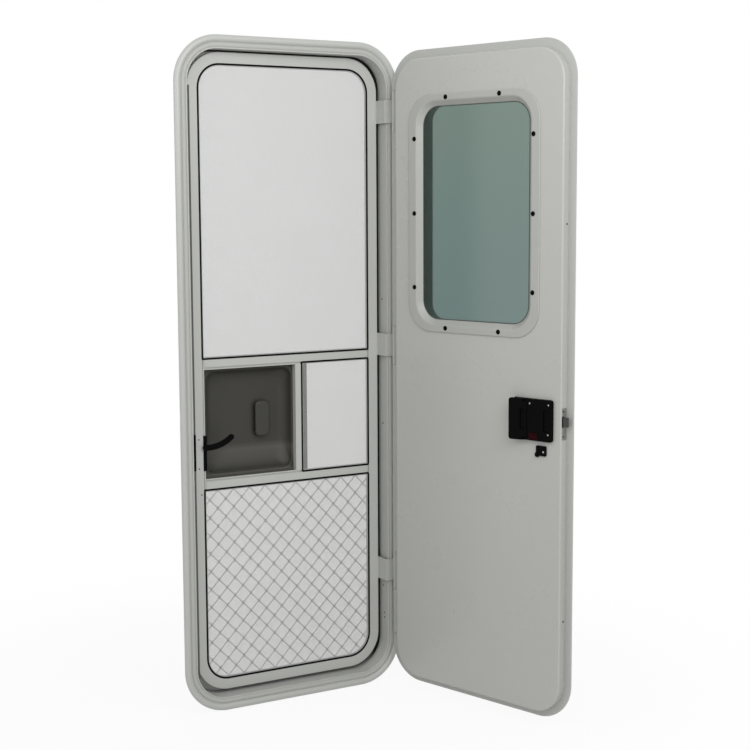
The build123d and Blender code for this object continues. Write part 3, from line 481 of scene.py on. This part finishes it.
moulded_black = coat("black moulded plastic", colour=(0.0022, 0.0022, 0.0022), roughness=0.42, gloss=0.035,
                     mottle=0.2, peel=0.15, peel_size=0.0007)
RING_FACE, RING_Z = 0.016, 1.392
SCREW_SIDE, SCREW_END = 0.2135, 0.3235
SCREW_STEP, SCREW_INSET = 0.211, 0.096
ring_places = [(side * SCREW_SIDE, step * SCREW_STEP) for side in (-1, 1) for step in (-1, 0, 1)]
ring_places += [(side * SCREW_INSET, end * SCREW_END) for side in (-1, 1) for end in (-1, 1)]
screws("window_screws", [on_door(WINDOW_X + x, RING_FACE, RING_Z + z) for x, z in ring_places],
       facing=door_inward, radius=0.0070, material=moulded_black, body="main_door")


# Slam lock: a black moulded case on the liner with a pull paddle, a dark red snib and three plated
# screws. The steel bolt works through a plated plate in the door's edge, with a black ring of strip round
# it that is painted shadow in the gap between bolt and plate. A small catch turns on a pin below the case,
# and the handle and its key cylinder are outside.
red_plastic = coat("dark red plastic", colour=(0.017, 0.0015, 0.002), roughness=0.4, gloss=0.04)
dress(moulded_black, "lock_case", "lock_paddle", "catch_turn", "outer_handle_plate", "outer_handle_bar")
dress(red_plastic, "lock_red_tab")
dress(plated_steel, "latch_plate", "key_cylinder", "catch_pin")
dress(dark_steel, "latch_bolt")
LOCK_FACE = 0.024
LOCK_SCREWS = ((-0.208, 0.882), (-0.271, 0.882), (-0.270, 0.801))
screws("lock_screws", [on_door(x, LOCK_FACE, z) for x, z in LOCK_SCREWS], facing=door_inward, radius=0.0028,
       material=plated_steel, body="main_door")
PLATE_FACE, PLATE_Y = -0.306, 0.0035
PLATE_SCREW_Z = (0.798, 0.866)
screws("latch_plate_screws", [on_door(PLATE_FACE, PLATE_Y, z) for z in PLATE_SCREW_Z], facing=door_lockward,
       radius=0.0032, material=dark_steel, body="main_door")
BOLT_Z = 0.838
# Painted shadow: a thin black ring round the bolt, where the gap between bolt and plate lies in shade.
GAP_SHADOW_WIDE, GAP_SHADOW_HIGH, GAP_SHADOW_CORNER = 0.0084, 0.0286, 0.002
GAP_SHADOW_STRIP, GAP_SHADOW_PROUD = 0.0018, 0.0006
bolt_bush = strip_loop("bolt_bush", (0, 0, 0), (GAP_SHADOW_WIDE, GAP_SHADOW_HIGH), (GAP_SHADOW_CORNER, GAP_SHADOW_CORNER),
                       (GAP_SHADOW_STRIP, 2 * GAP_SHADOW_PROUD), moulded_black)
bolt_place = Matrix.Translation((PLATE_FACE, PLATE_Y, BOLT_Z))
bolt_bush.data.transform(door_turn @ bolt_place @ Matrix.Rotation(QUARTER_TURN, 4, "Z"))
fit(bolt_bush, "main_door")


# Screen door: bent aluminium rails and stiles in the frame's finish, with straps to the hinge pin. A
# black rubber cord, a little wider than its groove, holds the mesh in each panel. A thin grey strip along
# the lock stile's outer edge is painted shadow, where the frame's flange shades the stile.
screen_coat = coat("pale grey screen coat", colour=(0.47, 0.477, 0.453), roughness=0.33)
black_rubber = coat("black spline rubber", colour=(0.006, 0.006, 0.006), roughness=0.7, gloss=0.06,
                    mottle=0.3, peel=0.2)
dress(screen_coat, "screen_head_rail", "screen_foot_rail", "screen_lock_stile", "screen_hinge_stile",
      "upper_mid_rail", "lower_mid_rail", "screen_mullion", "screen_hinge_straps")
dress(black_rubber, "upper_spline", "side_spline", "lower_spline")
stile_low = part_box("screen_lock_stile")[0]
STILE_SCREWS = ((0.018, 0.764), (0.018, 0.681), (0.024, 0.606))
screws("stile_screws", [(stile_low.x + aside, stile_low.y, z) for aside, z in STILE_SCREWS],
       facing=(0, -1, 0), radius=0.0022, material=dark_steel, body="screen_door")

# Painted shadow: a thin grey strip on the lock stile's face beside the frame's flange, which shades it
# there.
shadow_line_grey = coat("painted shadow line grey", colour=(0.13, 0.13, 0.124), roughness=0.8, gloss=0.1, mottle=0.3, peel=0.3,
                 peel_size=0.0006)
SHADOW_LINE_INSET, SHADOW_LINE_WIDE, SHADOW_LINE_STRIP, SHADOW_LINE_PROUD = 0.0052, 0.0026, 0.0024, 0.001
SHADOW_LINE_LOW, SHADOW_LINE_HIGH = 0.075, 1.745
stile_pile = strip_loop(
    "stile_pile", (stile_low.x + SHADOW_LINE_INSET, stile_low.y, (SHADOW_LINE_LOW + SHADOW_LINE_HIGH) / 2),
    (SHADOW_LINE_WIDE, SHADOW_LINE_HIGH - SHADOW_LINE_LOW), (SHADOW_LINE_WIDE / 2, SHADOW_LINE_WIDE / 2), (SHADOW_LINE_STRIP, 2 * SHADOW_LINE_PROUD),
    shadow_line_grey)
fit(stile_pile, "screen_door")

GROOVE = 0.004
CORD_WIDE, CORD_DEEP, CORD_PROUD = 0.0050, 0.002, 0.0006
BENT_CORNER, SQUARE_CORNER = 0.064, 0.002
panel_corners = {"upper": (BENT_CORNER, SQUARE_CORNER), "side": (SQUARE_CORNER, SQUARE_CORNER),
                 "lower": (SQUARE_CORNER, BENT_CORNER)}
cord_y = stile_low.y - CORD_PROUD + CORD_DEEP / 2
for panel, (head_bend, foot_bend) in panel_corners.items():
    low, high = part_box(panel + "_spline")
    cord = strip_loop(
        panel + "_spline_cord", ((low.x + high.x) / 2, cord_y, (low.z + high.z) / 2),
        (high.x - low.x - GROOVE, high.z - low.z - GROOVE), (head_bend + GROOVE / 2, foot_bend + GROOVE / 2),
        (CORD_WIDE, CORD_DEEP), black_rubber)
    fit(cord, "screen_door")


# Fly mesh: fine woven wire, cut to each panel and pressed under the spline. Each wire ends at the
# panel's rounded outline.
mesh_tree, inputs = new_tree("woven fly mesh", {
    "Low": VECTOR, "High": VECTOR, "Head Corner": FLOAT, "Foot Corner": FLOAT, "Pitch": FLOAT, "Wire": FLOAT,
    "Material": MATERIAL})
low_corner = inputs.node("ShaderNodeSeparateXYZ", sockets={"Vector": inputs.output("Low")})
high_corner = inputs.node("ShaderNodeSeparateXYZ", sockets={"Vector": inputs.output("High")})
left, front, foot = (low_corner.output(axis) for axis in "XYZ")
right_side, back, head = (high_corner.output(axis) for axis in "XYZ")
pitch, wire = inputs.output("Pitch"), inputs.output("Wire")
head_corner, foot_corner = inputs.output("Head Corner"), inputs.output("Foot Corner")


def corner_drop(radius, distance):
    """How far a rounded corner falls back at a distance past the start of its bend."""
    past = inputs.math("MINIMUM", inputs.math("MAXIMUM", distance, 0.0), radius)
    return radius - inputs.math("SQRT", radius * radius - past * past)


def wire_row(length, start, step, place, size):
    """A row of straight wires, each moved and stretched by its own place."""
    row = inputs.node("GeometryNodeMeshLine", {"mode": "OFFSET"}, {
        "Count": inputs.math("FLOOR", length / pitch), "Start Location": start, "Offset": step})
    middle = inputs.node("GeometryNodeSetPosition", sockets={"Geometry": row, "Position": place})
    rod = inputs.node("GeometryNodeMeshCube", sockets={"Size": (1, 1, 1)})
    return inputs.node("GeometryNodeInstanceOnPoints", sockets={
        "Points": middle, "Instance": rod, "Scale": size})


def point(x, y, z):
    return inputs.node("ShaderNodeCombineXYZ", sockets={"X": x, "Y": y, "Z": z})


here = inputs.node("ShaderNodeSeparateXYZ", sockets={"Vector": inputs.node("GeometryNodeInputPosition")})
across, height = here.output("X"), here.output("Z")
near_side = inputs.math("MINIMUM", across - left, right_side - across)
top_end = head - corner_drop(head_corner, head_corner - near_side)
low_end = foot + corner_drop(foot_corner, foot_corner - near_side)
head_drop = corner_drop(head_corner, head_corner - (head - height))
foot_drop = corner_drop(foot_corner, foot_corner - (height - foot))
width = right_side - left
up_wires = wire_row(width, point(left + pitch * 0.5, front, foot), point(pitch, 0.0, 0.0),
                    point(across, front + wire * 0.5, (top_end + low_end) * 0.5),
                    point(wire, wire, top_end - low_end))
level_wires = wire_row(head - foot, point(left, front, foot + pitch * 0.5), point(0.0, 0.0, pitch),
                       point((left + right_side) * 0.5, back - wire * 0.5, height),
                       point(width - (head_drop + foot_drop) * 2.0, wire, wire))
close_tree(inputs, inputs.node("GeometryNodeJoinGeometry", sockets={"Geometry": [up_wires, level_wires]}))

mesh_wire = coat("pale grey fly mesh", colour=(0.40, 0.405, 0.395), roughness=0.5, mottle=0.1, peel=0.0)
MESH_PITCH, MESH_WIRE = 0.0015, 0.00042
for panel, (head_bend, foot_bend) in panel_corners.items():
    low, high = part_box(panel + "_mesh")
    woven = grow(panel + "_mesh_wires", mesh_tree, {
        "Low": low, "High": high, "Head Corner": head_bend, "Foot Corner": foot_bend, "Pitch": MESH_PITCH,
        "Wire": MESH_WIRE, "Material": mesh_wire})
    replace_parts(fit(woven, "screen_door"), panel + "_mesh")


# Diamond grille: a satin lattice of cast aluminium behind the bottom mesh, with a thick oval joint at
# each crossing of its bars.
cast_aluminium = bare_metal("satin cast aluminium", colour=(0.93, 0.935, 0.93), roughness=0.45)
joint_coat = coat("grey grille joint coat", colour=(0.62, 0.625, 0.62), roughness=0.4)
dress(cast_aluminium, "security_grille")
OVAL_SEGMENTS, OVAL_RINGS = 8, 4
joint_tree, inputs = new_tree("oval grille joints", {
    "Geometry": GEOMETRY, "Size": VECTOR, "Material": MATERIAL})
oval = inputs.node("GeometryNodeMeshUVSphere", sockets={
    "Segments": OVAL_SEGMENTS, "Rings": OVAL_RINGS, "Radius": 0.5})
set_out = inputs.node("GeometryNodeInstanceOnPoints", sockets={
    "Points": inputs.output("Geometry"), "Instance": oval, "Scale": inputs.output("Size")})
close_tree(inputs, set_out)
JOINT_SIZE = (0.0075, 0.0042, 0.0115)
BORDER, HEAD_BORDER = 0.0105, 0.0065
CELLS, FIRST_JOINT = 10.5, 0.25
low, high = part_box("security_grille")
step_x = (high.x - low.x - 2 * BORDER) / CELLS
step_z = (high.z - low.z - BORDER - HEAD_BORDER) / CELLS
joint_places = []
for row in range(1, int(2 * CELLS)):
    for column in range(int(CELLS)):
        joint_x = low.x + BORDER + (column + row % 2 / 2 + FIRST_JOINT) * step_x
        joint_places.append((joint_x, (low.y + high.y) / 2, low.z + BORDER + row * step_z / 2))
grille_joints = grow("grille_joints", joint_tree, {"Size": JOINT_SIZE, "Material": joint_coat}, joint_places)
fit(grille_joints, "screen_door")


# Hatch: a dark grey moulded tray with a finger grip, which slides in the channels of the rails to let
# a hand through to the lock. Its foot has a painted highlight where it starts to slope, which fades to
# painted shade down the slope, and another painted highlight on its lower lip.
# Heights and tones of the painted highlight and painted shade on the tray's slope and lower lip.
HIGHLIGHT_TOP, HIGHLIGHT_FULL, HIGHLIGHT_TONE = 0.736, 0.718, 0.8
SLOPE_FOOT, SLOPE_TOP, SLOPE_SHADE = 0.667, 0.716, -0.25
LIP_TOP, LIP_FULL, LIP_HIGHLIGHT = 0.664, 0.657, 0.9


def painted_slope_light(height):
    """Painted highlight where the tray's foot starts to slope, fading to painted shade down the slope, and
    again on its lower lip.
    """
    slope = ramp(height, SLOPE_FOOT, SLOPE_TOP, SLOPE_SHADE, 1)
    lip = ramp(height, LIP_TOP, LIP_FULL, 0, LIP_HIGHLIGHT)
    return 1 + ramp(height, HIGHLIGHT_TOP, HIGHLIGHT_FULL, 0, HIGHLIGHT_TONE) * slope + lip


# The tray's colour takes painted highlight and painted shade by height.
tray_plastic = coat("dark grey tray plastic", colour=(0.046, 0.045, 0.039), roughness=0.45, gloss=0.25,
                    peel=0.12, peel_size=0.0016, height_tone=painted_slope_light)
dress(tray_plastic, "hatch_tray")


# Screen lock: a black case let into the stile with a curved lever in front of it, and a black keeper
# on the jamb. A black edge strip covers the painted shadow strip beside the lock.
dress(moulded_black, "screen_lock_case", "screen_lever", "screen_keeper")
COVER_LOW, COVER_HIGH = 0.677, 0.779
COVER_WIDE, COVER_STRIP, COVER_PROUD = 0.0032, 0.0030, 0.0016
screen_lock_edge = strip_loop(
    "screen_lock_edge", (stile_low.x + SHADOW_LINE_INSET, stile_low.y, (COVER_LOW + COVER_HIGH) / 2),
    (COVER_WIDE, COVER_HIGH - COVER_LOW), (COVER_WIDE / 2, COVER_WIDE / 2), (COVER_STRIP, 2 * COVER_PROUD),
    moulded_black)
fit(screen_lock_edge, "screen_door")
